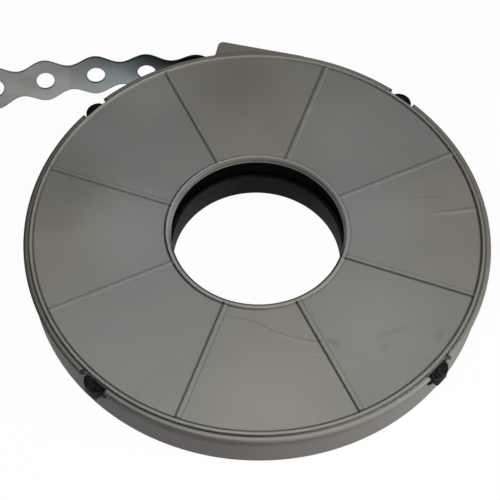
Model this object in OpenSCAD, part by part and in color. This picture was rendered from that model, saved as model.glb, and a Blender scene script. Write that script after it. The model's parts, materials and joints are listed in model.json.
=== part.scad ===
// Wave-edged perforated fixing strap, coiled in a round flat dispenser case.
// The strap leaves through a side nozzle, springs open and twists as it goes.
// Millimetres, +Z up, the case lies flat with its floor on Z = 0.

/* [Strap] */
// strap width across a hole
strap_w = 17; // [12:0.5:24]
// strap width at the waist between two holes
neck_w = 10.4; // [9:0.2:14]
// sheet thickness of the strap
strap_t = 0.75; // [0.5:0.05:1.1]
// diameter of the punched holes
hole_d = 6.8; // [4:0.1:8]
// distance from hole to hole along the strap
hole_pitch = 19; // [16:0.5:26]
// length of strap wound in the case
strap_len = 10000; // [5000:500:13000]
// share of the coil's side view that is metal
coil_fill = 0.9; // [0.8:0.02:0.98]
// turns that show as grooves on the coil's ends
coil_marks = 9; // [3:1:12]

/* [Tail] */
// holes of the tail outside the nozzle
tail_holes = 5; // [2:1:7]
// distance from the nozzle's mouth to the first hole outside it
first_hole = 6.8; // [6:0.2:12]
// how far the strap's centre lies inside the nozzle's edge at the mouth
mouth_in = 6.32; // [5:0.1:6.5]
// angle between the strap and the nozzle at the mouth
mouth_turn = 10.86; // [4:0.5:12]
// radius that the tail keeps once it is out of the case
tail_r = 326; // [200:2:600]
// twist of the tail, degrees for each mm outside the mouth
tail_twist = 0.297; // [0:0.01:0.32]
// fall of the tail's middle line, mm for each mm outside the mouth
tail_drop = 0.02; // [0:0.005:0.02]

/* [Case] */
// outside diameter over the rim bead
case_d = 160; // [140:1:200]
// thickness of the skirt and the nozzle's wall
wall = 1.5; // [1:0.1:2]
// thickness of the cover's panels
lid_t = 1.4; // [1:0.1:2.5]
// thickness of the base's floor
floor_t = 1.4; // [1:0.1:2.5]
// free height above the coil
head_room = 0.3; // [0.3:0.1:2]
// how far the panels lie below the ring and the ribs
panel_drop = 0.5; // [0.3:0.1:0.8]
// how far the rim bead stands out from the skirt
bead_out = 1.3; // [0.9:0.1:1.6]
// height of the skirt's lower edge above the floor
skirt_lift = 3.3; // [2:0.1:5]
// number of ribs on the cover
rib_n = 8; // [4:1:12]
// width of a rib
rib_w = 1.4; // [0.8:0.1:3]

/* [Bore] */
// diameter of the hub's bore
bore_d = 59; // [40:1:66]
// height of the hub's collar
hub_h = 10.2; // [6:0.1:14]
// wall of the hub's collar
hub_wall = 1.5; // [1:0.1:3]
// thickness of the rounded bead around the cover's bore
bore_bead = 2.1; // [1.6:0.1:2.4]

/* [Nozzle] */
// angle at which the nozzle leaves the rim
nozzle_angle = 74.5; // [60:0.5:80]
// length of the nozzle from there to its mouth
nozzle_len = 32.2; // [28:0.2:34]
// radius of the mouth's outer corner
nozzle_corner = 2; // [0.5:0.1:4]

/* [Snap lugs] */
// number of snap lugs around the rim
lug_n = 4; // [3:1:4]
// width of a lug
lug_w = 7.2; // [5:0.1:9]
// how far a lug stands out past the rim bead
lug_out = 1.8; // [0.5:0.1:3]
// free space around a lug in its window
lug_gap = 1.6; // [0.4:0.1:1.6]

/* [Clearances] */
// space between the coil and the base's wall
coil_gap = 0.4; // [0.3:0.1:1]
// space between the base's wall and the skirt
skirt_gap = 0.4; // [0.3:0.1:0.8]

/* [Hidden] */
$fn = 96;
eps = 0.02;
arc_fn = 24;

// the case, from the outside in
case_r = case_d / 2;
wall_r = case_r - bead_out;
room_r = wall_r - wall;
base_r = room_r - skirt_gap;
base_wall = 1.4;
coil_r = base_r - base_wall - coil_gap;
coil_in = sqrt(coil_r * coil_r - strap_len * strap_t / (PI * coil_fill));

// the heights, from the floor up
coil_top = floor_t + strap_w;
lid_z = coil_top + head_room;
panel_z = lid_z + lid_t;
top_z = panel_z + panel_drop;
mid_z = floor_t + strap_w / 2;

// rounded ring, groove and bead of the rim
ring_r = 0.75;
ring_in = 2.8;
ring_mid = case_r - ring_in;
bead_r = 0.95;
bead_top = top_z - 0.5;
bead_under = 1.7;
bore_r = bore_d / 2;
cover_bore_r = bore_r + 0.2;

// the nozzle's own frame: X against the strap's way out, Y away from the axis
mouth_x = -nozzle_len;
nozzle_deep = 12;
roof_z = bead_top - 0.1;
mouth_slack = 0.5;
slot_in = mouth_in + strap_t / 2 + mouth_slack;
// the nozzle's straight sides lie this far inside the round ones that they run into
blend = 0.15;
mouth_lip = 0.25;

// the strap's middle line: coil, springing arc, then the free tail
out_dir = nozzle_angle + 90;
mouth_dir = out_dir + mouth_turn;
tuck = 1;
start_r = coil_r - tuck;
mouth_p = case_r * [cos(nozzle_angle), sin(nozzle_angle)]
    + (nozzle_len + mouth_lip) * [cos(out_dir), sin(out_dir)]
    - mouth_in * [cos(nozzle_angle), sin(nozzle_angle)];
mouth_u = [sin(mouth_dir), -cos(mouth_dir)];
spring_r = (mouth_p * mouth_p - start_r * start_r) / (2 * (mouth_p * mouth_u - start_r));
spring_c = mouth_p - spring_r * mouth_u;
tail_c = mouth_p - tail_r * mouth_u;

// places along the strap are measured from the mouth, outwards positive
tail_start = first_hole - 2.75 * hole_pitch;
tail_end = first_hole + (tail_holes - 0.5) * hole_pitch;
step_n = 16;
stations = round((tail_end - tail_start) / hole_pitch * step_n);

function line_r(s) = s < 0 ? spring_r : tail_r;
function line_c(s) = s < 0 ? spring_c : tail_c;
function heading(s) = mouth_dir + s / line_r(s) * 180 / PI;
function lean(s) = s < 0 ? 0 : tail_twist * s;
function line_z(s) = mid_z - (s < 0 ? 0 : tail_drop * s);
function side(s) = [sin(heading(s)), -cos(heading(s)), 0];
function middle(s) = let (p = line_c(s) + line_r(s) * [sin(heading(s)), -cos(heading(s))])
    [p[0], p[1], line_z(s)];
function across(s) = sin(lean(s)) * side(s) + [0, 0, cos(lean(s))];
function facing(s) = cos(lean(s)) * side(s) - [0, 0, sin(lean(s))];
function half_w(s) = (strap_w + neck_w) / 4
    + (strap_w - neck_w) / 4 * cos(360 * (s - first_hole) / hole_pitch);
function section(s) = [for (k = [[-1, -1], [-1, 1], [1, 1], [1, -1]])
    middle(s) + k[0] * half_w(s) * across(s) + k[1] * strap_t / 2 * facing(s)];

// one sheet-metal band swept along the middle line
module tail_band() {
    at = [for (i = [0 : stations]) tail_start + (tail_end - tail_start) * i / stations];
    pts = [for (s = at) each section(s)];
    last = 4 * stations;
    polyhedron(
        points = pts,
        faces = concat(
            [[0, 2, 1], [0, 3, 2]],
            [for (i = [0 : stations - 1], j = [0 : 3]) let (a = 4 * i + j, b = 4 * i + (j + 1) % 4)
                [a, b, a + 4]],
            [for (i = [0 : stations - 1], j = [0 : 3]) let (a = 4 * i + j, b = 4 * i + (j + 1) % 4)
                [b, b + 4, a + 4]],
            [[last, last + 1, last + 2], [last, last + 2, last + 3]]));
}

// a cylinder through the band, square to its face, at one place along it;
// its seam is turned away from the edges between the band's stations
module punch(s) {
    f = facing(s);
    seam_turn = 35;
    translate(middle(s))
        rotate([0, acos(f[2]), atan2(f[1], f[0])])
            rotate(seam_turn) cylinder(d = hole_d, h = 3 * strap_t, center = true, $fn = 48);
}

// the wound part, with a groove on both ends between the turns that show
module coil() {
    mark_w = 0.3;
    mark_d = 0.4;
    gap = (coil_r - coil_in) / (coil_marks + 1);
    rotate_extrude() difference() {
        translate([coil_in, floor_t]) square([coil_r - coil_in, strap_w]);
        for (i = [1 : coil_marks], z = [floor_t - eps, coil_top - mark_d])
            translate([coil_in + i * gap - mark_w / 2, z]) square([mark_w, mark_d + eps]);
    }
}

module strap() color([0.62, 0.64, 0.65]) {
    difference() {
        union() {
            coil();
            tail_band();
        }
        for (k = [-1 : tail_holes - 1]) punch(first_hole + k * hole_pitch);
    }
}

// pointed arch with a flat top, the outline of a lug and of its window
module arch(w, straight, deep) {
    r = (deep * deep + w * w / 4) / w;
    translate([-w / 2, -straight]) square([w, straight]);
    intersection() {
        translate([r - w / 2, -straight]) circle(r = r);
        translate([w / 2 - r, -straight]) circle(r = r);
        translate([-w / 2, -straight - deep - 1]) square([w, deep + 1]);
    }
}

// places an outline that faces outwards on the rim, its top at height z
module on_rim(z, from, to) {
    translate([from, 0, z]) rotate([90, 0, 90]) linear_extrude(to - from) children();
}

lug_top = lid_z - 0.3;
lug_straight = 2.2;
lug_deep = 5.4;
lug_tip = case_r + lug_out;
lug_nose = 4.5;
lug_side_r = 27;

module lug_window() {
    w = lug_w + 2 * lug_gap;
    on_rim(lid_z, base_r, case_r + 2) arch(w, lug_straight + 0.5, lug_deep + 1);
    // the gap in the bead above it
    gap_h = top_z + 1 - lid_z + bead_under + 0.5;
    on_rim(top_z + 1, ring_mid + ring_r + 0.25, case_r + 2)
        translate([-w / 2, -gap_h]) square([w, gap_h]);
}

module lug() {
    // the tongue that carries the lug, inside the skirt
    translate([base_r - base_wall, -lug_w / 2 + 0.8, floor_t / 2])
        cube([base_wall - 0.1, lug_w - 1.6, lug_top - floor_t / 2]);
    intersection() {
        on_rim(lug_top, base_r - base_wall + 0.1, lug_tip + 1) arch(lug_w, lug_straight, lug_deep);
        union() {
            translate([lug_tip - lug_nose, 0, 0]) cylinder(r = lug_nose, h = top_z);
            translate([base_r - base_wall, -lug_w / 2, 0])
                cube([lug_tip - lug_nose - base_r + base_wall, lug_w, top_z]);
        }
        translate([lug_tip - lug_side_r, 0, lug_top]) rotate([90, 0, 0])
            cylinder(r = lug_side_r, h = 2 * lug_w, center = true);
    }
}

module around(n, first) {
    for (i = [0 : n - 1]) rotate([0, 0, first + i * 360 / n]) children();
}

// plan of the nozzle beside a round wall of radius r, in the nozzle's frame
module nozzle_plan(r) {
    c = nozzle_corner;
    edge = r - blend;
    translate([mouth_x, edge - nozzle_deep]) square([nozzle_len, nozzle_deep - c]);
    translate([mouth_x + c, edge - nozzle_deep]) square([nozzle_len - c, nozzle_deep]);
    translate([mouth_x + c, edge - c]) circle(r = c);
}

module nozzle_slot_plan() {
    translate([mouth_x - 2, case_r - slot_in])
        square([nozzle_len + 2, room_r - blend - case_r + slot_in]);
}

module at_nozzle() {
    rotate([0, 0, nozzle_angle - 90]) children();
}

// turned outline of the cover: bore bead, panel plate, ring, groove and rim bead
module cover_profile() {
    translate([cover_bore_r + bore_bead / 2, lid_z]) square([ring_mid - cover_bore_r - bore_bead / 2, lid_t]);
    translate([cover_bore_r + bore_bead / 2, top_z - bore_bead / 2]) circle(d = bore_bead, $fn = arc_fn);
    translate([ring_mid - ring_r, lid_z]) square([2 * ring_r, top_z - ring_r - lid_z]);
    translate([ring_mid, top_z - ring_r]) circle(r = ring_r, $fn = arc_fn);
    translate([case_r - bead_r, bead_top - bead_r]) circle(r = bead_r, $fn = arc_fn);
    polygon([
        [room_r - eps, lid_z - bead_under],
        [wall_r, lid_z - bead_under],
        [case_r - 0.25, bead_top - 1.6],
        [case_r - bead_r, bead_top - bead_r],
        [ring_mid + ring_r - eps, bead_top - bead_r + 0.2],
        [room_r - eps, bead_top - bead_r + 0.2]]);
}

module cover() color([0.44, 0.45, 0.43]) {
    difference() {
        union() {
            rotate_extrude() cover_profile();
            translate([0, 0, skirt_lift]) linear_extrude(lid_z - 0.5 - skirt_lift) {
                circle(r = wall_r);
                at_nozzle() nozzle_plan(wall_r);
            }
            translate([0, 0, lid_z - 0.4]) linear_extrude(roof_z - lid_z + 0.4) difference() {
                at_nozzle() nozzle_plan(case_r);
                circle(r = ring_mid);
            }
            around(rib_n, 180 / rib_n)
                translate([cover_bore_r + bore_bead / 2, -rib_w / 2, panel_z - 0.3])
                    cube([ring_mid - cover_bore_r - bore_bead / 2, rib_w, panel_drop + 0.2]);
        }
        // the room for the coil and the way out through the nozzle
        translate([0, 0, -1]) linear_extrude(lid_z + 1) {
            circle(r = room_r);
            at_nozzle() nozzle_slot_plan();
        }
        around(lug_n, 180 / lug_n) lug_window();
    }
}

module base() color([0.03, 0.03, 0.032]) {
    hem = 0.7;
    wall_h = 8;
    // length and depth of the gap in the low wall, from the nozzle's mouth and from its root
    gate_run = nozzle_len + 36;
    gate_deep = nozzle_deep + 8;
    // floor with a bevelled edge, the hub's collar and the low wall inside the skirt
    rotate_extrude() {
        polygon([[bore_r, 0], [base_r - hem, 0], [base_r, hem], [base_r, floor_t], [bore_r, floor_t]]);
        translate([bore_r, 0]) square([hub_wall, hub_h]);
    }
    difference() {
        rotate_extrude() translate([base_r - base_wall, hem]) square([base_wall, wall_h - hem]);
        // the strap passes here on its way to the nozzle
        at_nozzle() translate([mouth_x, case_r - nozzle_deep, floor_t]) cube([gate_run, gate_deep, wall_h]);
    }
    // floor of the nozzle
    linear_extrude(floor_t) difference() {
        at_nozzle() translate([mouth_x + 0.5, case_r - slot_in - 1])
            square([nozzle_len - 0.5, slot_in + 1 - bead_out - 0.4]);
        circle(r = base_r - 2);
    }
    around(lug_n, 180 / lug_n) lug();
}

cover();
base();
strap();
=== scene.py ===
# %% [markdown]
# # A perforated steel strap in its dispenser case
# Ten metres of wave-edged steel band are wound in a flat round case of grey and black plastic.
# The band's free end leaves through a nozzle at the side, springs open and leans back.
# The construction comes in as a fixed frame, and this lesson dresses it: three smooth pieces
# take the place of its three solids, each with a finish of its own.

# %% The frame
import json
import math

import bmesh
import bpy
from mathutils import Matrix, Vector


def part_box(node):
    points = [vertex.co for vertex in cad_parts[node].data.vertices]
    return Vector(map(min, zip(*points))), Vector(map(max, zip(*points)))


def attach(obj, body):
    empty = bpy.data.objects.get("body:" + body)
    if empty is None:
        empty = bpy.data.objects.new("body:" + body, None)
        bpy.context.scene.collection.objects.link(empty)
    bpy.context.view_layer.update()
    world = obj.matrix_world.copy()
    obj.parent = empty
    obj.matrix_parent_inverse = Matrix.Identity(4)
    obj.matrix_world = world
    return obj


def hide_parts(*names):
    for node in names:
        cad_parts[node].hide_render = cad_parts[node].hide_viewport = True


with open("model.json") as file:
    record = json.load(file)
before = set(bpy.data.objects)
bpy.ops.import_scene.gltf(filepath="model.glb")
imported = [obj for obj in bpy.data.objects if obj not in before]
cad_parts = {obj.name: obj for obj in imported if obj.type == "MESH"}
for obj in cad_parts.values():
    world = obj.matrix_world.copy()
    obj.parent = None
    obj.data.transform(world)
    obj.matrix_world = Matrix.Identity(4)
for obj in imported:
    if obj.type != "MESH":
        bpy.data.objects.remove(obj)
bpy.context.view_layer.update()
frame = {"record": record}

# %% [markdown]
# ## Sizes
# The pieces are drawn in millimetres, as a workshop drawing is, and become metres when they are
# finished. The main sizes are read from the frame, so a new frame reshapes the pieces with it.

# %% Sizes from the frame
MM = 0.001
mounts = {mount["name"]: mount for mount in frame["record"]["mounts"]}


def box_mm(node):
    """The lowest and highest corner of a frame node, in millimetres."""
    low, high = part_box(node)
    return low / MM, high / MM


cover_low, cover_high = box_mm("cover")
CASE_R = cover_high.x
TOP_Z = cover_high.z
SKIRT_Z = cover_low.z
BORE_R = mounts["bore"]["dims"]["r_mm"]
HUB_H = mounts["bore"]["dims"]["length_mm"]
HOLE_R = mounts["strap_hole_1"]["dims"]["r_mm"]
STRAP_T = mounts["strap_hole_1"]["dims"]["length_mm"]
TAIL_HOLES = sum(name.startswith("strap_hole_") for name in mounts)
print("case radius %.1f, height %.1f, bore radius %.1f" % (CASE_R, TOP_Z, BORE_R))

# %% Sizes of the mouldings
PANEL_DROP = 0.5
LID_T = 1.4
WALL = 1.5
FLOOR_T = 1.4
SKIRT_GAP = 0.4
BASE_WALL = 1.4
BASE_WALL_H = 8.0
COIL_GAP = 0.4
BORE_BEAD_W = 2.2
RING_R = 0.58
RING_IN = 2.65
BEAD_R = 0.95
BEAD_OUT = 1.3
BEAD_DROP = 0.5
RIB_N = 8
LUG_N = 4
LUG_W = 7.2
LUG_GAP = 1.6
TURN_STEPS = 288

PANEL_Z = TOP_Z - PANEL_DROP
LID_Z = PANEL_Z - LID_T
BEAD_TOP = TOP_Z - BEAD_DROP
WALL_R = CASE_R - BEAD_OUT
ROOM_R = WALL_R - WALL
BASE_R = ROOM_R - SKIRT_GAP
COIL_R = BASE_R - BASE_WALL - COIL_GAP
RING_MID = CASE_R - RING_IN
print("lid from %.1f to %.1f, coil radius %.1f" % (LID_Z, PANEL_Z, COIL_R))

# %% Sizes of the strap
STRAP_W = 17.0
NECK_W = 10.4
PITCH = 19.0
FIRST_HOLE = 6.8
KINK = FIRST_HOLE + 2.5 * PITCH
print("strap %.1f wide and %.2f thick, a hole every %.1f" % (STRAP_W, STRAP_T, PITCH))

# %% [markdown]
# ## From a drawing to an object
# Each piece is modelled in a bmesh. When it is done, points and slivers that a Boolean left on
# top of each other are merged, it shrinks from millimetres to metres, its edges are sorted into
# soft and sharp ones by the angle between their faces, and it takes the place of its solid in
# the frame. Its object stays at the origin, with its place in its mesh. The volume is printed
# with its sign: a minus would show that the faces point inwards.

# %% Helpers for finished pieces
SHARP_ANGLE = math.radians(33)
SLIVER = 0.002


def shade(bm, sharp):
    """Smooth faces, with a sharp edge wherever two faces meet at a clear angle."""
    for face in bm.faces:
        face.smooth = True
    for edge in bm.edges:
        edge.smooth = len(edge.link_faces) == 2 and edge.calc_face_angle(0) < sharp


def as_object(bm, name):
    """Puts a bmesh into a new object of the scene and frees it."""
    mesh = bpy.data.meshes.new(name)
    bm.to_mesh(mesh)
    bm.free()
    obj = bpy.data.objects.new(name, mesh)
    bpy.context.scene.collection.objects.link(obj)
    return obj


def finish_piece(bm, node, material, sharp=SHARP_ANGLE):
    """Turns a bmesh in millimetres into the piece that stands for a frame node."""
    bmesh.ops.remove_doubles(bm, verts=bm.verts, dist=SLIVER)
    bmesh.ops.dissolve_degenerate(bm, edges=bm.edges, dist=SLIVER)
    volume = bm.calc_volume(signed=True) * MM
    bmesh.ops.scale(bm, vec=(MM, MM, MM), verts=bm.verts)
    shade(bm, sharp)
    piece = as_object(bm, node + "_piece")
    piece.data.materials.append(material)
    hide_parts(node)
    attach(piece, "root")
    piece.data.calc_loop_triangles()
    print("%s has %d triangles and holds %.1f cm3"
          % (piece.name, len(piece.data.loop_triangles), volume))


# %% Helpers for shapes
SAME_POINT = 1e-4


def joined(parts):
    """One bmesh that holds several, which are freed."""
    whole = bmesh.new()
    for part in parts:
        mesh = bpy.data.meshes.new("part")
        part.to_mesh(mesh)
        part.free()
        whole.from_mesh(mesh)
        bpy.data.meshes.remove(mesh)
    return whole


def combine(body, tool, operation):
    """The UNION or DIFFERENCE of two closed bmeshes, as a new bmesh."""
    body_obj = as_object(body, "body")
    tool_obj = as_object(tool, "tool")
    modifier = body_obj.modifiers.new("combine", "BOOLEAN")
    modifier.operation = operation
    modifier.object = tool_obj
    modifier.solver = "EXACT"
    evaluated = body_obj.evaluated_get(bpy.context.evaluated_depsgraph_get())
    mesh = bpy.data.meshes.new_from_object(evaluated)
    result = bmesh.new()
    result.from_mesh(mesh)
    for obj in (body_obj, tool_obj):
        old = obj.data
        bpy.data.objects.remove(obj)
        bpy.data.meshes.remove(old)
    bpy.data.meshes.remove(mesh)
    return result


def block(low, high):
    """A box between two corners."""
    bm = bmesh.new()
    size = Vector(high) - Vector(low)
    bmesh.ops.create_cube(bm, size=1)
    bmesh.ops.scale(bm, vec=size, verts=bm.verts)
    bmesh.ops.translate(bm, vec=(Vector(low) + Vector(high)) / 2, verts=bm.verts)
    return bm


def turned_by(bm, degrees):
    """Turns a bmesh about the case's axis."""
    bmesh.ops.rotate(bm, cent=(0, 0, 0), matrix=Matrix.Rotation(math.radians(degrees), 3, "Z"),
                     verts=bm.verts)
    return bm


# %% A pen for sections
class Outline:
    """A pen that draws a section beside the axis, stroke by stroke, and then turns it."""

    def __init__(self, r, z):
        self.bm = bmesh.new()
        self.tip = self.bm.verts.new((r, 0, z))

    def line(self, r, z):
        made = bmesh.ops.extrude_vert_indiv(self.bm, verts=[self.tip])
        self.tip = made["verts"][0]
        self.tip.co = (r, 0, z)
        return self

    def arc(self, r, z, degrees, steps):
        """Swings the tip about (r, z), from +r towards +z where degrees is positive."""
        made = bmesh.ops.spin(self.bm, geom=[self.tip], cent=(r, 0, z), axis=(0, -1, 0),
                              angle=math.radians(degrees), steps=steps, use_duplicate=False)
        self.tip = [item for item in made["geom_last"] if isinstance(item, bmesh.types.BMVert)][0]
        return self

    def turned(self, steps):
        """Closes the section and spins it round the case's axis."""
        self.line(*[self.bm.verts[:][0].co[axis] for axis in (0, 2)])
        bmesh.ops.remove_doubles(self.bm, verts=self.bm.verts, dist=SAME_POINT)
        bmesh.ops.spin(self.bm, geom=self.bm.verts[:] + self.bm.edges[:], cent=(0, 0, 0),
                       axis=(0, 0, 1), angle=math.tau, steps=steps, use_merge=True)
        bmesh.ops.remove_doubles(self.bm, verts=self.bm.verts, dist=SAME_POINT)
        bmesh.ops.recalc_face_normals(self.bm, faces=self.bm.faces)
        return self.bm


# %% [markdown]
# ## Finishes as expressions
# A finish is a graph of nodes. It could be drawn node by node, but written as Python sums and
# products it reads like the formula that it is. So one class wraps a node's output and turns
# arithmetic into Math nodes, and one of its methods adds any other node.

# %% A wrapped socket
class Value:
    """One output of a node: arithmetic on it adds Math nodes to the same tree."""

    def __init__(self, tree, socket):
        self.tree = tree
        self.socket = socket

    def node(self, kind, settings=(), sockets=(), out=0):
        """Adds any node: its settings first, then values or links for its sockets."""
        made = self.tree.nodes.new("ShaderNode" + kind)
        for name, setting in dict(settings).items():
            setattr(made, name, setting)
        for name, given in dict(sockets).items():
            if isinstance(given, Value):
                self.tree.links.new(given.socket, made.inputs[name])
            else:
                made.inputs[name].default_value = given
        return Value(self.tree, made.outputs[out])

    def math(self, operation, *others):
        """A Math node with this value first."""
        return self.node("Math", {"operation": operation}, dict(enumerate((self,) + others)))

    def __add__(self, other):
        return self.math("ADD", other)

    __radd__ = __add__

    def __sub__(self, other):
        return self.math("SUBTRACT", other)

    def __rsub__(self, other):
        return self.math("MULTIPLY_ADD", -1.0, other)

    def __mul__(self, other):
        return self.math("MULTIPLY", other)

    __rmul__ = __mul__

    def __truediv__(self, other):
        return self.math("DIVIDE", other)

    def __rtruediv__(self, other):
        return self.math("POWER", -1.0) * other

    def __pow__(self, other):
        return self.math("POWER", other)

    def clamped(self):
        return self.node("Clamp", (), {"Value": self})

    def band(self, centre, half):
        """1 at the centre, falling to 0 at a distance of half on either side."""
        return (1 - (self - centre).math("ABSOLUTE") / half).clamped()

    def step(self, low, high):
        """0 below low, 1 above high, and an even slope between."""
        return ((self - low) / (high - low)).clamped()

    def noise(self, scale, detail=2.0, rough=0.5):
        """Cloudy noise, about 0.5 on average, at this vector."""
        return self.node("TexNoise", (), {"Vector": self, "Scale": scale, "Detail": detail,
                                          "Roughness": rough})

    def parts(self):
        """The three parts of this vector, as wrapped values."""
        split = self.node("SeparateXYZ", (), {0: self}).socket.node
        return [Value(self.tree, socket) for socket in split.outputs]

    def mixed(self, first, second):
        """First colour where this value is 0, second where it is 1."""
        return self.node("Mix", {"data_type": "RGBA"}, {0: self, 6: first, 7: second}, 2)


# %% Helpers for finishes
def new_finish(name, coordinates):
    """A material with an empty tree, and the wrapped coordinates that its finish reads."""
    material = bpy.data.materials.new(name)
    material.use_nodes = True
    tree = material.node_tree
    tree.nodes.clear()
    tree.nodes.new("ShaderNodeOutputMaterial")
    texture = tree.nodes.new("ShaderNodeTexCoord")
    return material, Value(tree, texture.outputs[coordinates])


def plug_in(material, shader):
    """Leads a wrapped shader to the material's output."""
    tree = material.node_tree
    output = next(node for node in tree.nodes if node.type == "OUTPUT_MATERIAL")
    tree.links.new(shader.socket, output.inputs["Surface"])


def paint(red, green, blue):
    """A colour from its sRGB levels, 0 to 255, as linear colour."""
    return tuple(((c / 255 + 0.055) / 1.055) ** 2.4 for c in (red, green, blue)) + (1.0,)


def grey(level):
    """A neutral colour from one sRGB level."""
    return paint(level, level, level)


# %% [markdown]
# ## Grey plastic
# The cover is moulded in one shot from a matt mid-grey plastic, and it has seen use. The melt
# left cool and warm patches, and the panels carry scratches and smears. On top of these, shade
# and highlights are painted into the colour: painted shade in corners and along edges, painted
# highlights on raised edges, and a painted crease. A picture of all this would fit one size only.
# So every trace is worked out from where a point of the cover lies: how far from the axis, in
# which direction, how high, and how near to a rib or a lug.

# %% Where a point of the cover lies
class CoverPoint:
    """A point of the cover, in millimetres, with the masks that several traces share."""

    def __init__(self, place):
        self.x, self.y, self.z = [part / MM for part in place.parts()]
        self.radius = (self.x * self.x + self.y * self.y).math("SQRT")
        self.angle = self.y.math("ARCTAN2", self.x)
        self.on_lid = self.z.step(PANEL_Z - 0.9, PANEL_Z - 0.8)
        self.on_panel = self.z.step(PANEL_Z - 0.05, PANEL_Z)
        self.on_rim = self.radius.step(RING_MID - 1.2, RING_MID + 0.6)
        self.outside = self.radius.step(WALL_R - 0.1, WALL_R)
        self.on_wall = self.outside * (1 - self.on_lid)

    def towards(self, degrees):
        """1 on the side of the axis that faces this way, 0 on the far half."""
        return (self.angle - math.radians(degrees)).math("COSINE").clamped()

    def beside(self, count):
        """Sideways distance to the nearest of some evenly spaced spokes, with a sign."""
        turn = math.tau / count
        return self.radius * (((self.angle / turn).math("FRACT") - 0.5) * turn).math("SINE")

    def stroke(self, start, end, half):
        """A straight mark between two points of the lid that thins out to its ends."""
        length = math.dist(start, end)
        ahead = (Vector(end) - Vector(start)).normalized()
        right_of = self.x - start[0]
        above = self.y - start[1]
        along = right_of * ahead.x + above * ahead.y
        across = above * ahead.x - right_of * ahead.y
        return along.band(length / 2, length / 2) ** 0.5 * across.band(0, half)

    def strokes(self, marks):
        """Several marks together, which don't add up where they cross."""
        return sum(self.stroke(*mark) for mark in marks).clamped()


# %% [markdown]
# ### The melt
# The plastic flowed in at a few gates, and where it arrived late it set a little warmer. Wide
# soft blots and fine flow lines, which fan out from the middle, make it lighter and darker. The
# gates follow the cosine of the angle, and each blot is a smooth step round its own middle.

# %% Tones of the melt
COOL_GREY = paint(112, 115, 111)
WARM_GREY = paint(118, 115, 107)
# Painted shade: the wall's side away from the light gets this darker, warmer grey.
SHADED_WALL_GREY = paint(100, 93, 90)
WALL_SHADED_SIDE = -118
GATES = 4
MELT_LIGHT = 0.94
FLOW_SCALE = (0.012, 9, 0.03)
BLOTS = [(38, -38, 34, 0.15), (-46, 2, 28, 0.2), (42, 2, 26, 0.13), (32, 42, 24, 0.13),
         (-36, 62, 20, 0.18), (2, -66, 30, 0.12), (-4, 64, 26, -0.17), (-66, 24, 24, -0.18)]


def melt_colour_and_wall_shade(point, place, haze):
    """Melt colour, warmer where the melt came late and at the rim, with painted shade on the wall.
    """
    cloud = place.noise(24, 2.0)
    gates = (point.angle * GATES).math("COSINE").step(-0.8, 0.9)
    late = point.angle.math("SINE").math("ABSOLUTE").step(0.75, 0.95)
    late = (late + point.radius.step(46, 62)).clamped()
    warm = gates * late + 1.3 * (cloud - 0.5) + 0.8 * (haze - 0.5) + 0.4 * point.on_rim
    colour = warm.clamped().mixed(COOL_GREY, WARM_GREY)
    return (point.on_wall * point.towards(WALL_SHADED_SIDE)).mixed(colour, SHADED_WALL_GREY)


def melt_lightness(point, place, haze):
    """Haze, flow lines that fan out from the middle, and wide soft blots."""
    flow = zip((point.radius, point.angle, point.z), FLOW_SCALE)
    fan = place.node("CombineXYZ", (), dict(enumerate(part * scale for part, scale in flow)))
    lightness = MELT_LIGHT + 0.14 * haze + 0.06 * fan.noise(1.6, 3.0, 0.6)
    for x, y, reach, amount in BLOTS:
        away = ((point.x - x) ** 2 + (point.y - y) ** 2).math("SQRT")
        fade = away.node("MapRange", {"interpolation_type": "SMOOTHSTEP"}, {
            "Value": away, "From Min": 0.0, "From Max": float(reach)})
        lightness = lightness + amount * (1 - fade)
    return lightness


print("blots on the lid:", len(BLOTS))

# %% [markdown]
# ### Painted shade
# Shade is painted into the colour where it falls: in the corners beside the ribs, most of it on
# the side away from the light, and along the bore, the ring, the groove and the bead, at the
# windows of the lugs, and under the bead. Each line is a soft band at a known distance, and its
# strength changes round the case.

# %% Painted shade in the corners
SHADE_COLOUR = grey(42)
SHADE_LINE_EDGE = 1.8
# The direction the light comes from, in degrees: the painted shade beside the ribs lies away from
# it.
LIGHT_FROM = 25.0
RIB_SHADE = [0.1, 0.32, 0.5, 0.46, 0.2, 0.75, 0.83, 0.8]
RIB_FOOT = 0.96
RIB_LINE = 0.42


def shade_line(distance, middle, half):
    """A line of painted shade with soft edges, at a distance from something."""
    return (distance.band(middle, half) * SHADE_LINE_EDGE).clamped()


def rib_shade(point):
    """Painted shade beside the ribs, each rib with its own amount on its side away from the light.
    """
    gap = point.beside(RIB_N)
    facing = (point.angle - math.radians(LIGHT_FROM)).math("SINE")
    away_from_light = (3 * (gap.math("SIGN") * facing)).clamped()
    rib = (point.angle / (math.tau / RIB_N)).math("FLOOR").math("WRAP", RIB_N, 0.0)
    darkness = sum(amount * rib.math("COMPARE", float(k), 0.1)
                 for k, amount in enumerate(RIB_SHADE))
    darkness = darkness * away_from_light + (1 - away_from_light) * (0.06 + 0.3 * point.towards(-90) ** 4)
    reach = (point.radius.step(BORE_R + 1, BORE_R + 2)
             - point.radius.step(RING_MID - 0.7, RING_MID - 0.6))
    return shade_line(gap.math("ABSOLUTE"), RIB_FOOT, RIB_LINE) * darkness * reach


# %% Painted shade round the axis and at the edges
BORE_LINE = 0.45
RING_LINE = 0.52
GROOVE_LINE = 0.34
BEAD_LINE = 1.1
LUG_LINE = 0.6


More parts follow.
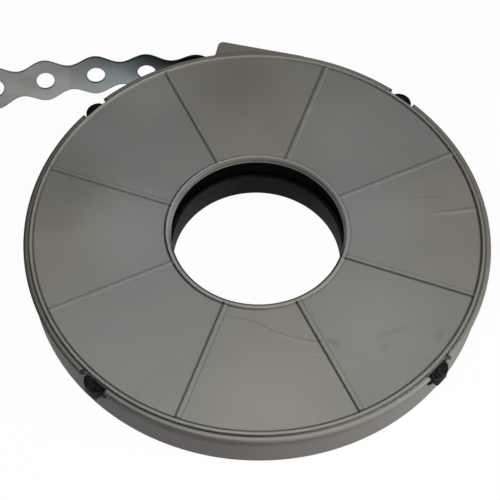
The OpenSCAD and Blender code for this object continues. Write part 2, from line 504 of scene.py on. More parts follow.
def round_shade(point):
    """Painted shade that runs round the axis: at the bore, the ring, the groove and the bead."""
    radius, towards = point.radius, point.towards
    bore = shade_line(radius, BORE_R + BORE_BEAD_W + 0.15, BORE_LINE)
    bore = bore * (0.3 + 0.7 * towards(-165))
    ring = shade_line(radius + 0.13 * towards(-95), RING_MID - RING_R - 0.15, RING_LINE)
    ring = ring * (0.85 * towards(-4) + towards(-130))
    groove = shade_line(radius, RING_MID + RING_R + 0.12, GROOVE_LINE)
    groove = groove * (0.05 + 0.75 * (2.2 * towards(-150) - 0.3).clamped()
                       + 0.5 * towards(-30) ** 2)
    bead = radius.band(CASE_R - 0.7, BEAD_LINE)
    bead = bead * (0.05 + 0.75 * towards(165) + 0.28 * towards(25) ** 2)
    return bore + ring + groove + bead


def lug_shade(point):
    """Painted shade on the ends of the bead, beside the windows of the lugs."""
    ends = shade_line(point.beside(LUG_N).math("ABSOLUTE"), LUG_W / 2 + LUG_GAP, LUG_LINE)
    return 0.8 * ends * point.radius.step(RING_MID + RING_R, RING_MID + RING_R + 0.2)


def edge_shade(point):
    """Painted shade off the lid: inside the bore's lip, under the bead and down the wall."""
    lip = 1 - point.radius.step(BORE_R + 0.8, BORE_R + 1.2)
    lip = lip * point.towards(-95).step(0.0, 0.3)
    wall_top = (point.z.step(LID_Z - 5.8, LID_Z - 4.0)
                - point.z.step(LID_Z + 0.2, LID_Z + 0.7))
    flank = point.radius.band(CASE_R - 0.15, 0.5)
    below_bead = (wall_top * point.outside + flank).clamped()
    below_bead = below_bead * (0.06 + 0.62 * point.towards(-150).step(0.1, 0.8))
    return lip + below_bead + 0.1 * point.on_wall * point.towards(-175)


def all_shade(point):
    """1 where painted shade covers the plastic, 0 where none is painted."""
    on_top = rib_shade(point) + round_shade(point) + lug_shade(point)
    return (on_top * point.on_lid + edge_shade(point)).clamped()


# The amounts are painted shade, one for each rib.
print("ribs with dirt:", len(RIB_SHADE))

# %% [markdown]
# ### Painted highlights and marks
# Highlights are painted on the highest edges: the ring, the bead round the bore and the outer
# bead, and on the near-right of the rim and the wall, with painted shade inside the bore's lip.
# The panels have a few scratches and smears and one long streak, and a crease is painted as a
# highlight and a shade. A mark is a straight stroke between two points, and a long one is several
# strokes.

# %% Painted highlights on the edges
RING_HIGHLIGHT = 1.15
RIM_HIGHLIGHT = 0.16
FLANK_HIGHLIGHT = 0.4
WALL_HIGHLIGHT = 0.24
LIP_SHADE = 0.5


def painted_light(point):
    """Painted highlights on the edges and the wall, and painted shade inside the bore's lip."""
    radius, towards = point.radius, point.towards
    ring = radius.band(RING_MID + 0.05, 0.6) * point.z.step(PANEL_Z + 0.1, TOP_Z)
    rim = radius.step(RING_MID - 0.5, RING_MID) * towards(-62) ** 2
    bore_bead = radius.band(BORE_R + 1.65, 0.6) * (0.35 + 0.65 * towards(120))
    bore_lip = (1 - radius.step(BORE_R + 0.3, BORE_R + 1.5)) * towards(75).step(0.0, 0.3)
    bead_flank = radius.band(CASE_R - 1.35, 0.7) * towards(-35) ** 2
    beads = point.on_lid * (bore_bead - LIP_SHADE * bore_lip + FLANK_HIGHLIGHT * bead_flank)
    wall = point.on_wall * towards(-45) ** 4
    return RING_HIGHLIGHT * ring * towards(110) + RIM_HIGHLIGHT * rim + beads + WALL_HIGHLIGHT * wall


# %% Marks on the panels
STREAK = [((-13.0, -33.6), (-2.0, -36.2), 0.4), ((-4.5, -35.3), (3.5, -40.4), 0.5),
          ((1.5, -39.4), (11.5, -43.8), 0.6), ((9.0, -43.1), (19.5, -45.1), 0.55),
          ((20.0, -44.0), (25.0, -46.8), 1.4)]
DARK_MARKS = [((36.0, -44.0), (49.0, -40.4), 1.8), ((37.5, -47.5), (41.0, -47.6), 1.6),
              ((55.0, -46.5), (60.0, -41.5), 1.6), ((50.5, -52.4), (53.0, -53.0), 0.5),
              ((60.0, -25.9), (64.5, -25.3), 0.35), ((53.0, 11.4), (68.0, 10.8), 0.8),
              ((50.3, 10.0), (51.0, 8.0), 0.5), ((49.4, -7.9), (51.8, -7.8), 0.35),
              ((12.5, 48.0), (2.0, 41.0), 0.7)]
LIGHT_MARKS = [((3.0, -41.6), (17.0, -46.2), 0.8), ((20.8, -58.0), (30.0, -60.0), 0.3),
               ((20.0, -59.6), (27.0, -60.8), 0.3), ((14.0, -49.6), (20.0, -50.0), 0.45),
               ((47.5, 2.3), (54.2, 2.7), 0.35), ((49.8, -8.8), (52.0, -8.8), 0.4),
               ((-37.5, 51.4), (-31.0, 51.2), 0.35), ((-52.0, -29.0), (-46.0, -29.6), 0.3),
               ((33.0, 55.0), (37.5, 57.0), 0.3), ((16.0, 47.0), (26.0, 53.5), 0.6)]
# The crease is only painted: one stroke of painted shade and one of painted highlight.
CREASE_SHADE = ((60.0, 4.5), (80.0, 6.5), 0.42)
CREASE_SHINE = ((61.0, 3.8), (83.0, 5.0), 0.95)
SCRATCH_PALE = 0.18
SCRATCH_DARK = 0.17
STREAK_DARK = 0.3
STEP_DARK = 0.12
CREASE_HIGHLIGHT = 0.34
CREASE_SHADOW = 0.5


def panel_marks(point):
    """Scratches, smears, the streak, the painted crease, and a step in tone on one panel."""
    scratches = (SCRATCH_PALE * point.strokes(LIGHT_MARKS)
                 - SCRATCH_DARK * point.strokes(DARK_MARKS))
    # Painted highlight and painted shade of the crease.
    crease = (CREASE_HIGHLIGHT * point.stroke(*CREASE_SHINE)
              - CREASE_SHADOW * point.stroke(*CREASE_SHADE))
    crease = crease * (1 - point.radius.step(RING_MID - RING_R - 0.2, RING_MID - RING_R))
    tone_step = point.y.step(2.3, 2.8) * (1 - point.y.step(5, 22))
    tone_step = tone_step * (1 - point.x.step(-68, -56))
    streak = point.strokes(STREAK)
    return point.on_panel * (scratches + crease - STREAK_DARK * streak - STEP_DARK * tone_step)


print("marks on the panels:", len(STREAK + DARK_MARKS + LIGHT_MARKS))

# %% [markdown]
# ### The whole finish
# Painted shade is mixed over the plastic's colour, and the melt, the marks and the painted
# highlights make the result lighter or darker.
# The grain of the mould is far too fine to model, so it is a bump. It fades out at the rim, whose
# tight roundings were polished in the mould.

# %% The grey plastic's finish
GREY_GRAIN = 0.00004


def grey_plastic():
    material, place = new_finish("grey_plastic", "Object")
    point = CoverPoint(place)
    haze = place.noise(70, 3.0)
    # Painted shade over the colour, and painted highlights in the lightness.
    colour = all_shade(point).mixed(melt_colour_and_wall_shade(point, place, haze), SHADE_COLOUR)
    lightness = melt_lightness(point, place, haze) + painted_light(point) + panel_marks(point)
    shown = place.node("Mix", {"data_type": "RGBA", "blend_type": "MULTIPLY"},
                       {0: 1.0, 6: colour, 7: lightness}, 2)
    grain = place.noise(2600, 2.0) * (1 - point.on_rim)
    bump = place.node("Bump", (), {"Strength": 0.10, "Distance": GREY_GRAIN, "Height": grain})
    shader = place.node("BsdfPrincipled", (), {
        "Base Color": shown, "Roughness": 0.34 + 0.12 * haze, "Normal": bump,
        "Specular IOR Level": 0.4})
    plug_in(material, shader)
    return material


GREY_PLASTIC = grey_plastic()
print("grey plastic:", len(GREY_PLASTIC.node_tree.nodes), "nodes")

# %% [markdown]
# ## Black plastic
# The base is moulded from the same kind of plastic, coloured through with carbon black. Only its
# lugs reach out to where hands and benches rub, so they are scuffed in paler flecks. The flecks
# are a fine noise with its low part cut off, and the distance to the axis says where they show.

# %% The black plastic's finish
BLACK = grey(17)
SCUFFED_BLACK = grey(62)
BLACK_GRAIN = 0.00008


def black_plastic():
    material, place = new_finish("black_plastic", "Object")
    x, y, _ = place.parts()
    handled = ((x * x + y * y).math("SQRT") / MM).step(ROOM_R, WALL_R)
    cloud = place.noise(60, 3.0)
    scuff = place.noise(620, 4.0, 0.7).step(0.50, 0.72)
    colour = ((0.25 * cloud + 0.6 * handled) * scuff).mixed(BLACK, SCUFFED_BLACK)
    grain = place.noise(2200, 2.0)
    bump = place.node("Bump", (), {"Strength": 0.15, "Distance": BLACK_GRAIN, "Height": grain})
    shader = place.node("BsdfPrincipled", (), {
        "Base Color": colour, "Roughness": 0.38 + 0.25 * cloud, "Normal": bump,
        "Specular IOR Level": 0.12})
    plug_in(material, shader)
    return material


BLACK_PLASTIC = black_plastic()
print("black plastic:", len(BLACK_PLASTIC.node_tree.nodes), "nodes")

# %% [markdown]
# ## Galvanised steel
# The band is rolled from zinc-coated strip. Rolling leaves streaks along its length, and the zinc
# has dulled in soft blotches. Its cut edges are dark, partly as bare steel and partly as painted
# shade. Near the mouth it is bluish, with painted shade and a painted dark reflection, most
# towards its upper edge, and it is painted a shade darker up to a waist. The streaks have to
# follow the band round its turns, so this finish reads the band's own map, which says how far
# along and across the band a point lies.

# %% The steel's finish
DULL_ZINC = paint(215, 220, 213)
BRIGHT_ZINC = paint(232, 236, 230)
BLUE_ZINC = paint(213, 227, 230)
# The colour of the painted shade and painted dark reflection on the steel, and of its dark edges.
SHADE_ON_STEEL = paint(58, 68, 71)
STEEL_GRAIN = 0.00005
MOUTH_SHADE_AMOUNT = 0.72
UPPER_SHADE_AMOUNT = 0.22
KINK_SHADE_AMOUNT = 0.1
EDGE_DARK = 0.6


def zinc_steel():
    material, place = new_finish("zinc_steel", "UV")
    s, w, _ = [part / MM for part in place.parts()]
    along = place.node("Mapping", (), {"Vector": place, "Scale": (14, 900, 1)})
    streak = along.noise(1.0, 4.0, 0.6)
    blotch = place.noise(180, 3.0)
    patchy = (0.6 * streak + 0.4 * blotch).step(0.35, 0.7)
    colour = patchy.mixed(DULL_ZINC, BRIGHT_ZINC)
    colour = (1 - s.step(40, 52)).mixed(colour, BLUE_ZINC)

    cell = (s - FIRST_HOLE) / PITCH
    wave = (cell * math.tau).math("COSINE")
    half = (STRAP_W + NECK_W) / 4 + (STRAP_W - NECK_W) / 4 * wave
    # Darker cut edges round the band and the holes: partly bare steel, partly painted shade.
    outer_edge = (w.math("ABSOLUTE") - half).step(-0.45, -0.15)
    from_hole = ((cell + 0.5).math("FRACT") - 0.5) * PITCH
    hole_edge = 1 - ((from_hole ** 2 + w ** 2).math("SQRT") - HOLE_R).step(0.1, 0.4)
    # Painted shade and a painted dark reflection near the mouth, most towards the upper edge, then
    # more painted shade on the upper band and up to the waist.
    mouth_shade = 1 - (s + 0.7 * (6 - w)).step(14, 38)
    upper_shade = w.step(2, 8) * (1 - s.step(44, 62))
    kink_shade = 1 - s.step(KINK, KINK + 1.2)
    steel_darkening = (MOUTH_SHADE_AMOUNT * mouth_shade + UPPER_SHADE_AMOUNT * upper_shade + KINK_SHADE_AMOUNT * kink_shade
              + EDGE_DARK * (outer_edge + hole_edge))
    colour = steel_darkening.clamped().mixed(colour, SHADE_ON_STEEL)

    rough = 0.24 + 0.14 * blotch + 0.10 * streak + 0.2 * outer_edge
    bump = place.node("Bump", (), {"Strength": 0.06, "Distance": STEEL_GRAIN,
                                   "Height": 0.7 * streak + 0.3 * place.noise(900, 2.0)})
    shader = place.node("BsdfPrincipled", (), {
        "Base Color": colour, "Metallic": 1.0, "Roughness": rough, "Normal": bump})
    plug_in(material, shader)
    return material


ZINC_STEEL = zinc_steel()
print("zinc steel:", len(ZINC_STEEL.node_tree.nodes), "nodes")

# %% [markdown]
# ## The cover's turned body
# The lid, the rounded bead round the bore, the ring, the groove, the rim bead and the skirt all
# run round the axis, so one section drawn beside the axis and spun makes them together. A screw
# modifier would do the same, but a drawn section keeps every radius to hand.

# %% The cover's section
LIP_IN = 0.2
LIP_ROUND = 1.0
RING_ROUND = 0.22
RING_DOME = 2.5
RING_DRAFT = 0.06
GROOVE_DEEP = 1.0
BEAD_WRAP = 45
BEAD_FILLET = [(0.3, 1.3), (0.08, 1.7), (0.0, 2.2)]
SKIRT_ROUND = 0.4
ROOM_ROUND = 0.4


def on_circle(radius, height):
    """How far a circle of this radius reaches sideways at a height from its middle."""
    return math.sqrt(radius * radius - height * height)


def cover_body():
    """Draws the section from the bore outwards, over the lid and down the skirt, and turns it."""
    lip = BORE_R + LIP_IN
    bead_end = BORE_R + BORE_BEAD_W
    pen = Outline(bead_end, LID_Z)
    pen.line(lip, LID_Z)
    pen.line(lip, TOP_Z - LIP_ROUND)
    pen.arc(lip + LIP_ROUND, TOP_Z - LIP_ROUND, -90, 8)
    pen.line(bead_end - PANEL_DROP, TOP_Z)
    pen.arc(bead_end - PANEL_DROP, TOP_Z - PANEL_DROP, -90, 6)

    dome = RING_R - RING_ROUND
    lean = math.asin(dome / RING_DOME)
    ring_z = TOP_Z - RING_DOME * (1 - math.cos(lean)) - RING_ROUND
    pen.line(RING_MID - RING_R - RING_DRAFT, PANEL_Z)
    pen.line(RING_MID - RING_R, ring_z)
    pen.arc(RING_MID - dome, ring_z, -90, 4)
    pen.arc(RING_MID, TOP_Z - RING_DOME, -2 * math.degrees(lean), 6)
    pen.arc(RING_MID + dome, ring_z, -90, 4)
    groove_z = TOP_Z - GROOVE_DEEP
    pen.line(RING_MID + RING_R, groove_z)

    rim_z = BEAD_TOP - BEAD_R
    bead_mid = CASE_R - BEAD_R
    lift = groove_z - rim_z
    pen.line(bead_mid - on_circle(BEAD_R, lift), groove_z)
    pen.arc(bead_mid, rim_z, -(180 - math.degrees(math.asin(lift / BEAD_R)) + BEAD_WRAP), 14)
    for out, below in BEAD_FILLET:
        pen.line(WALL_R + out, LID_Z - below)
    pen.line(WALL_R, SKIRT_Z + SKIRT_ROUND)
    pen.arc(WALL_R - SKIRT_ROUND, SKIRT_Z + SKIRT_ROUND, -90, 5)
    pen.line(ROOM_R, SKIRT_Z)
    pen.line(ROOM_R, LID_Z - ROOM_ROUND)
    pen.line(ROOM_R - ROOM_ROUND, LID_Z)
    return pen.turned(TURN_STEPS)


# %% [markdown]
# ## Ribs
# Eight low ribs run out from the bore to the ring and divide the lid into panels. They could be
# bars laid on the lid, but they are one moulding with it. So the lid's own faces are cut along
# lines that run beside each rib, and what lies between the lines is lifted into a rounded ridge.

# %% Lifting the ribs
RIB_HEIGHTS = [(0.0, 1.0), (0.50, 1.0), (0.60, 0.93), (0.67, 0.75), (0.74, 0.15), (0.80, 0.0)]
RIB_REACH = RIB_HEIGHTS[-1][0] + 3
RIB_START = BORE_R + BORE_BEAD_W - 0.8
RIB_END = RING_MID + 0.1
RIB_LOW = PANEL_Z - 0.4


def rib_height(gap):
    """Height of a rib's section at a distance from its middle line."""
    for (near, high), (far, low) in zip(RIB_HEIGHTS, RIB_HEIGHTS[1:]):
        if gap <= far:
            return PANEL_DROP * (high + (low - high) * (gap - near) / (far - near))
    return 0.0


def lift_rib(bm, degrees):
    """Cuts the lid along a rib's lines and lifts what lies between them."""
    out = Vector((math.cos(math.radians(degrees)), math.sin(math.radians(degrees)), 0))
    side = Vector((-out.y, out.x, 0))

    def beside_rib(point):
        r = math.hypot(point.x, point.y)
        top = RIB_LOW < point.z and RIB_START < r < RIB_END
        return top and point.dot(out) > 0 and abs(point.dot(side)) < RIB_REACH

    for gap, _ in RIB_HEIGHTS[1:]:
        for offset in (-gap, gap):
            faces = [f for f in bm.faces if beside_rib(f.calc_center_median())]
            edges = list({e for f in faces for e in f.edges})
            verts = list({v for f in faces for v in f.verts})
            bmesh.ops.bisect_plane(bm, geom=faces + edges + verts, dist=SAME_POINT,
                                   plane_co=side * offset, plane_no=side)
    for vert in bm.verts:
        if beside_rib(vert.co):
            vert.co.z = max(vert.co.z, PANEL_Z + rib_height(abs(vert.co.dot(side))))


# %% [markdown]
# ## Windows for the snap lugs
# Four lugs of the base snap into windows in the skirt. A window is a pointed arch that hangs
# from the lid, and the rim bead is cut away above it. The arch is drawn as a flat outline, its
# two sides as arcs, and is pushed through the wall.

# %% The pointed arch
ARCH_ROWS = 12


def arch_half_width(depth, width, straight, deep):
    """Half the width of a pointed arch at a depth below its flat top."""
    round_r = (deep * deep + width * width / 4) / width
    below = min(max(depth - straight, 0), deep)
    return width / 2 - round_r + on_circle(round_r, below)


def arch_block(width, straight, deep, top, near, far):
    """A solid of the arch's outline that reaches from near to far along +X."""
    bm = bmesh.new()
    bmesh.ops.create_grid(bm, x_segments=2, y_segments=ARCH_ROWS, size=0.5)
    for vert in bm.verts:
        depth = (0.5 - vert.co.y) * (straight + deep)
        half = arch_half_width(depth, width, straight, deep)
        vert.co = (near, 2 * vert.co.x * half, top - depth)
    bmesh.ops.remove_doubles(bm, verts=bm.verts, dist=SAME_POINT)
    made = bmesh.ops.extrude_face_region(bm, geom=bm.faces[:])
    moved = [item for item in made["geom"] if isinstance(item, bmesh.types.BMVert)]
    bmesh.ops.translate(bm, vec=(far - near, 0, 0), verts=moved)
    bmesh.ops.recalc_face_normals(bm, faces=bm.faces)
    return bm


# %% The windows as one cutter
LUG_STRAIGHT = 2.2
LUG_DEEP = 5.4
WINDOW_TALLER = 0.5
WINDOW_DEEPER = 1.0
NOTCH_IN = 0.25
NOTCH_DEEP = 2.2
CLEAR = 2.0
HAIR = 0.01


def lug_angle(i):
    """Degrees at which lug i stands, in the middle of its quarter."""
    return (i + 0.5) * 360 / LUG_N


def window_cutters():
    """The four windows as one solid: an arch through the skirt and a notch in the bead each."""
    width = LUG_W + 2 * LUG_GAP
    cutters = []
    for i in range(LUG_N):
        arch = arch_block(width, LUG_STRAIGHT + WINDOW_TALLER, LUG_DEEP + WINDOW_DEEPER,
                          LID_Z + HAIR, BASE_R, CASE_R + CLEAR)
        notch = block((RING_MID + RING_R + NOTCH_IN, -width / 2, LID_Z - NOTCH_DEEP),
                      (CASE_R + CLEAR, width / 2, TOP_Z + 1))
        cutters.append(turned_by(combine(arch, notch, "UNION"), lug_angle(i)))
    return joined(cutters)


# %% [markdown]
# ## The nozzle
# The skirt runs out into a straight nozzle that guides the strap away from the coil. It is a
# hollow box that leaves the rim almost at a tangent, with a flat roof about level with the bead
# and one rounded corner at the mouth. It is modelled in a frame of its own, with Y away from the
# axis and X against the strap's way out, and is then turned to its place on the rim.

# %% The nozzle's blocks
NOZZLE_ANGLE = 74.5
NOZZLE_LEN = 32.2
NOZZLE_DEEP = 12.0
NOZZLE_CORNER = 2.0


def nozzle_block(edge, low, high, top_round):
    """A block of the nozzle with its rounded mouth corner and a softened top."""
    bm = block((-NOZZLE_LEN, edge - NOZZLE_DEEP, low), (0, edge, high))
    corner = [e for e in bm.edges
              if all(v.co.x < -1 and v.co.y > edge - 1 for v in e.verts)]
    bmesh.ops.bevel(bm, geom=corner, offset=NOZZLE_CORNER, affect="EDGES", segments=8,
                    profile=0.5, material=-1)
    if top_round:
        rim = [e for e in bm.edges if all(v.co.z > high - HAIR for v in e.verts)
               and not all(v.co.x > -HAIR for v in e.verts)
               and not all(v.co.y < edge - NOZZLE_DEEP + HAIR for v in e.verts)]
        bmesh.ops.bevel(bm, geom=rim, offset=top_round, affect="EDGES", segments=4,
                        profile=0.5, material=-1)
    return bm


def drum(radius, low, high):
    """A round bar on the case's axis."""
    bm = bmesh.new()
    bmesh.ops.create_cone(bm, cap_ends=True, segments=TURN_STEPS, radius1=radius, radius2=radius,
                          depth=high - low)
    bmesh.ops.translate(bm, vec=(0, 0, (low + high) / 2), verts=bm.verts)
    return bm


# %% The nozzle and its slot
ROOF_DROP = 0.45
ROOF_ROUND = 0.35
ROOF_LOW = LID_Z - 0.4
WALLS_HIGH = LID_Z - 0.2
RING_LAP = 0.1
BLEND = 0.15
MOUTH_IN = 6.32
MOUTH_SLACK = 0.5
SLOT_IN = MOUTH_IN + STRAP_T / 2 + MOUTH_SLACK


def nozzle():
    """Walls under a wider roof, cut back to the outside of the skirt and of the ring."""
    walls = nozzle_block(WALL_R - BLEND, SKIRT_Z, WALLS_HIGH, 0)
    roof = nozzle_block(CASE_R - BLEND, ROOF_LOW, TOP_Z - ROOF_DROP, ROOF_ROUND)
    shell = turned_by(combine(walls, roof, "UNION"), NOZZLE_ANGLE - 90)
    shell = combine(shell, drum(ROOM_R + WALL / 2, -1, LID_Z), "DIFFERENCE")
    return combine(shell, drum(RING_MID + RING_R - RING_LAP, LID_Z - 1, TOP_Z + 1), "DIFFERENCE")


def nozzle_slot():
    """What is cut away so that the strap can pass."""
    slot = block((-NOZZLE_LEN - CLEAR, CASE_R - SLOT_IN, -1), (0, ROOM_R - BLEND, LID_Z))
    return turned_by(slot, NOZZLE_ANGLE - 90)


# %% The cover as one piece
cover = cover_body()
for k in range(RIB_N):
    lift_rib(cover, (k + 0.5) * 360 / RIB_N)
cover = combine(cover, nozzle(), "UNION")
cover = combine(cover, nozzle_slot(), "DIFFERENCE")
cover = combine(cover, window_cutters(), "DIFFERENCE")
finish_piece(cover, "cover", GREY_PLASTIC)

# %% [markdown]
# ## The base
# The black base is the mirror of the cover: a floor, a short collar round the bore, and a low
# wall that fits inside the skirt. One section makes all three. The floor reaches out under the
# nozzle, the wall is open where the strap passes, and four lugs stand up from it.

# %% The base's turned body
HEM = 0.7
HUB_WALL = 1.5
EDGE_ROUND = 0.35


def base_body():
    """Draws the section under the floor, over the low wall and the collar, and turns it."""
    pen = Outline(BORE_R + EDGE_ROUND, 0)
    pen.line(BASE_R - HEM, 0)
    pen.line(BASE_R, HEM)
    pen.line(BASE_R, BASE_WALL_H - EDGE_ROUND)
    pen.arc(BASE_R - EDGE_ROUND, BASE_WALL_H - EDGE_ROUND, 90, 4)
    pen.line(BASE_R - BASE_WALL + EDGE_ROUND, BASE_WALL_H)
    pen.arc(BASE_R - BASE_WALL + EDGE_ROUND, BASE_WALL_H - EDGE_ROUND, 90, 4)
    pen.line(BASE_R - BASE_WALL, FLOOR_T)
    pen.line(BORE_R + HUB_WALL, FLOOR_T)
    pen.line(BORE_R + HUB_WALL, HUB_H - EDGE_ROUND)
    pen.arc(BORE_R + HUB_WALL - EDGE_ROUND, HUB_H - EDGE_ROUND, 90, 4)
    pen.line(BORE_R + EDGE_ROUND, HUB_H)
    pen.arc(BORE_R + EDGE_ROUND, HUB_H - EDGE_ROUND, 90, 4)
    pen.line(BORE_R, EDGE_ROUND)
    return pen.turned(TURN_STEPS)


# %% [markdown]
# ## Snap lugs
# A lug is a springy tongue whose outer face bulges through its window. Its outline is the same
# pointed arch as the window's, a little smaller. A fine grid takes that outline, its front is
# pushed out along two arcs, one across and one down, and it is drawn back to the wall.

# %% One lug
LUG_DROP = 0.3
LUG_TOP = LID_Z - LUG_DROP
LUG_OUT = 1.8
LUG_TIP = CASE_R + LUG_OUT
LUG_NOSE = 4.5
LUG_SIDE_R = 27.0
LUG_EDGE = 0.3
LUG_SHARP = 0.9
LUG_SINK = 0.1
TONGUE_IN = 0.8


def lug():
    """One lug, with its bulge towards +X."""
    bm = bmesh.new()
    bmesh.ops.create_grid(bm, x_segments=14, y_segments=18, size=0.5)
    for vert in bm.verts:
        depth = (0.5 - vert.co.y) * (LUG_STRAIGHT + LUG_DEEP)
        across = 2 * vert.co.x * arch_half_width(depth, LUG_W, LUG_STRAIGHT, LUG_DEEP)
        nose = LUG_TIP - LUG_NOSE + on_circle(LUG_NOSE, across)
        side = LUG_TIP - LUG_SIDE_R + on_circle(LUG_SIDE_R, depth)
        vert.co = (min(nose, side), across, LUG_TOP - depth)
    bmesh.ops.remove_doubles(bm, verts=bm.verts, dist=SAME_POINT)
    made = bmesh.ops.extrude_face_region(bm, geom=bm.faces[:])
    for item in made["geom"]:
        if isinstance(item, bmesh.types.BMVert):
            item.co.x = BASE_R - BASE_WALL + LUG_SINK
    bmesh.ops.recalc_face_normals(bm, faces=bm.faces)
    rim = [e for e in bm.edges if e.calc_face_angle(0) > LUG_SHARP
           and all(v.co.x > BASE_R for v in e.verts)]
    bmesh.ops.bevel(bm, geom=rim, offset=LUG_EDGE, affect="EDGES", segments=3, profile=0.5,
                    material=-1)
    return bm


def tongue():
    """The strip that carries a lug, inside the skirt."""
    half = LUG_W / 2 - TONGUE_IN
    return block((BASE_R - BASE_WALL, -half, FLOOR_T / 2), (BASE_R - LUG_SINK, half, LUG_TOP))


# %% The base as one piece
GATE_BACK = 36.0
GATE_OUT = 8.0
FLOOR_SHORT = 0.5
FLOOR_STEP = 0.02
FLOOR_LAP = 2.0

base = base_body()
strap_gate = block((-NOZZLE_LEN, CASE_R - NOZZLE_DEEP, FLOOR_T),
                   (GATE_BACK, CASE_R + GATE_OUT, BASE_WALL_H + CLEAR))
base = combine(base, turned_by(strap_gate, NOZZLE_ANGLE - 90), "DIFFERENCE")
nozzle_floor = block((-NOZZLE_LEN + FLOOR_SHORT, CASE_R - SLOT_IN - 1, 0),
                     (0, CASE_R - BEAD_OUT - SKIRT_GAP, FLOOR_T - FLOOR_STEP))
nozzle_floor = turned_by(nozzle_floor, NOZZLE_ANGLE - 90)
nozzle_floor = combine(nozzle_floor, drum(BASE_R - FLOOR_LAP, -1, FLOOR_T + 1), "DIFFERENCE")
base = combine(base, nozzle_floor, "UNION")
for i in range(LUG_N):
    snap = combine(lug(), tongue(), "UNION")
    base = combine(base, turned_by(snap, lug_angle(i)), "UNION")
finish_piece(base, "base", BLACK_PLASTIC)

# %% [markdown]
# ## The strap, flat
# Seen flat, the strap is one cell repeated: a hole in the middle, a wave along both edges, a
# waist where it meets the next cell. A cell grows from the hole outwards. A circle is extruded
# once and its outer copy is drawn to the cell's outline. The wound cells hide in the case, so
# they keep the wave and leave out the hole. The flat sheet is then made as thick as the steel,
# and the edges that can be seen are broken a little.

# %% Cells of the flat strap
QUARTER = 12
NECK_STEPS = 3
PLAIN_STEPS = 6
JOIN = 1e-3


def half_width(s):
    """Half the strap's width at a place along it, widest at a hole."""
    wave = math.cos(math.tau * (s - FIRST_HOLE) / PITCH)
    return (STRAP_W + NECK_W) / 4 + (STRAP_W - NECK_W) / 4 * wave


def cell_outline(i):
    """Point i of the outline round a hole, from the waist ahead and anticlockwise."""
    quarter, step = divmod(i, QUARTER)
    if quarter % 2:
        step = QUARTER - step
    if step <= NECK_STEPS:
        s, w = PITCH / 2, NECK_W / 2 * step / NECK_STEPS
    else:
        s = PITCH / 2 * (QUARTER - step) / (QUARTER - NECK_STEPS)
        w = half_width(FIRST_HOLE + s)
    return Vector((s if quarter in (0, 3) else -s, w if quarter < 2 else -w, 0))


def holed_cell(bm, middle):
    """A cell with its hole, grown from the hole's circle."""
    count = 4 * QUARTER
    hole = bmesh.ops.create_circle(bm, segments=count, radius=HOLE_R)["verts"]
    edges = list({e for v in hole for e in v.link_edges})
    grown = bmesh.ops.extrude_edge_only(bm, edges=edges)["geom"]
    for vert in [item for item in grown if isinstance(item, bmesh.types.BMVert)]:
        turn = math.atan2(vert.co.y, vert.co.x) % math.tau
        vert.co = cell_outline(round(turn / math.tau * count) % count)
        vert.co.x += middle
    bmesh.ops.translate(bm, vec=(middle, 0, 0), verts=hole)


def plain_cells(bm, start, count):
    """Some cells without holes, as a ribbon whose last edge fits a holed cell."""
    steps = count * PLAIN_STEPS
    grid = bmesh.ops.create_grid(bm, x_segments=steps, y_segments=1, size=0.5)["verts"]
    for vert in grid:
        s = start + (vert.co.x + 0.5) * count * PITCH
        vert.co = (s, math.copysign(half_width(s), vert.co.y), 0)
    end = start + count * PITCH
    seam = [e for e in bm.edges if all(v in grid and abs(v.co.x - end) < JOIN for v in e.verts)]
    bmesh.ops.subdivide_edges(bm, edges=seam, cuts=2 * NECK_STEPS - 1)


# %% The whole strap, flat
STRAP_LEN = 10000.0
HOLED_INSIDE = 3
EDGE_BREAK = 0.1
EDGE_ANGLE = 1.0


def flat_strap():
    """The whole strap, flat, with its length along X from the mouth."""
    bm = bmesh.new()
    first = -HOLED_INSIDE
    for k in range(first, TAIL_HOLES):
        holed_cell(bm, FIRST_HOLE + k * PITCH)
    wound = round(STRAP_LEN / PITCH)
    plain_cells(bm, FIRST_HOLE + (first - 0.5 - wound) * PITCH, wound)
    bmesh.ops.remove_doubles(bm, verts=bm.verts, dist=JOIN)
    bmesh.ops.recalc_face_normals(bm, faces=bm.faces)
    made = bmesh.ops.extrude_face_region(bm, geom=bm.faces[:])
    moved = [item for item in made["geom"] if isinstance(item, bmesh.types.BMVert)]
    bmesh.ops.translate(bm, vec=(0, 0, STRAP_T), verts=moved)
    bmesh.ops.translate(bm, vec=(0, 0, -STRAP_T / 2), verts=bm.verts)
    bmesh.ops.recalc_face_normals(bm, faces=bm.faces)
    seen_from = -(HOLED_INSIDE + 0.4) * PITCH
    sharp = [e for e in bm.edges
             if e.calc_face_angle(0) > EDGE_ANGLE and e.verts[0].co.x > seen_from]
    bmesh.ops.bevel(bm, geom=sharp, offset=EDGE_BREAK, affect="EDGES", segments=2, profile=0.5,
                    material=-1)
    return bm


# %% [markdown]
# ## The strap's way
# The flat strap is then bent along its way: a spiral in the case, an arc that springs open
# through the nozzle, and the free tail, which keeps a wide curve, twists and sinks a little. A
# curve modifier would twist the coil, so each point goes straight to its place by formula. The
# map for the steel is taken from the flat strap, before it is bent.

# %% The way in plan
MOUTH_TURN = 10.86
MOUTH_LIP = 0.25
TAIL_R = 326.0
COIL_FILL = 0.9


def toward(degrees):
    """The direction at an angle, in plan."""
    return Vector((math.cos(math.radians(degrees)), math.sin(math.radians(degrees))))


